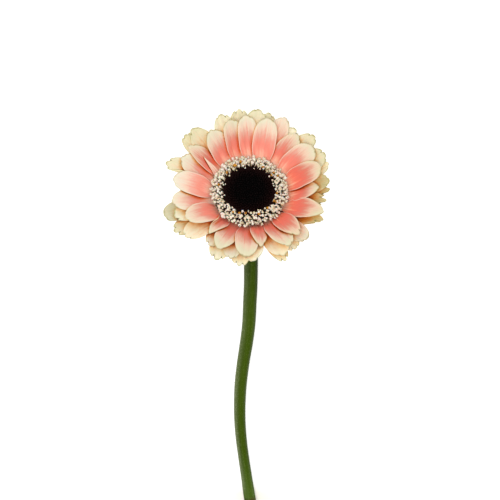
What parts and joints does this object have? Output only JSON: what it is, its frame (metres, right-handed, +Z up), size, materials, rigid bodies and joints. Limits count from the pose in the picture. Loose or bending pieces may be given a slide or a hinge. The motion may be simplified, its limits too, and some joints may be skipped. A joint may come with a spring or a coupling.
{
  "type": "cut gerbera",
  "caption": "Single cut gerbera lying on its side: a bent neck turns the open head up, with layered salmon-to-cream petals around a dark disc on a smooth green stem.",
  "frame": {"origin": "centre of the bounding box's bottom face, on the surface that the flower lies on", "axes": "+Z up from the surface, +Y along the stem from its cut end towards the head, +X to the right seen from above with the head away"},
  "size_m": [0.0773, 0.1939, 0.0545],
  "materials": {
    "petals": "matte",
    "open_florets": "matte",
    "disc_buds": "matte",
    "bracts": "matte",
    "stem": "satin"
  },
  "bodies": {
    "root": {"disc_buds": "disc_buds", "disc_open_florets": "open_florets", "involucre": "bracts", "ray_floret_inner_01": "petals", "ray_floret_inner_02": "petals", "ray_floret_inner_03": "petals", "ray_floret_inner_04": "petals", "ray_floret_inner_05": "petals", "ray_floret_inner_06": "petals", "ray_floret_inner_07": "petals", "ray_floret_inner_08": "petals", "ray_floret_inner_09": "petals", "ray_floret_inner_10": "petals", "ray_floret_inner_11": "petals", "ray_floret_inner_12": "petals", "ray_floret_inner_13": "petals", "ray_floret_inner_14": "petals", "ray_floret_inner_15": "petals", "ray_floret_inner_16": "petals", "ray_floret_inner_17": "petals", "ray_floret_inner_18": "petals", "ray_floret_inner_19": "petals", "ray_floret_inner_20": "petals", "ray_floret_middle_01": "petals", "ray_floret_middle_02": "petals", "ray_floret_middle_03": "petals", "ray_floret_middle_04": "petals", "ray_floret_middle_05": "petals", "ray_floret_middle_06": "petals", "ray_floret_middle_07": "petals", "ray_floret_middle_08": "petals", "ray_floret_middle_09": "petals", "ray_floret_middle_10": "petals", "ray_floret_middle_11": "petals", "ray_floret_middle_12": "petals", "ray_floret_middle_13": "petals", "ray_floret_middle_14": "petals", "ray_floret_middle_15": "petals", "ray_floret_middle_16": "petals", "ray_floret_middle_17": "petals", "ray_floret_middle_18": "petals", "ray_floret_outer_01": "petals", "ray_floret_outer_02": "petals", "ray_floret_outer_03": "petals", "ray_floret_outer_04": "petals", "ray_floret_outer_05": "petals", "ray_floret_outer_06": "petals", "ray_floret_outer_07": "petals", "ray_floret_outer_08": "petals", "ray_floret_outer_09": "petals", "ray_floret_outer_10": "petals", "ray_floret_outer_11": "petals", "ray_floret_outer_12": "petals", "ray_floret_outer_13": "petals", "ray_floret_outer_14": "petals", "ray_floret_quill_01": "petals", "stem": "stem"}
  },
  "joints": []
}
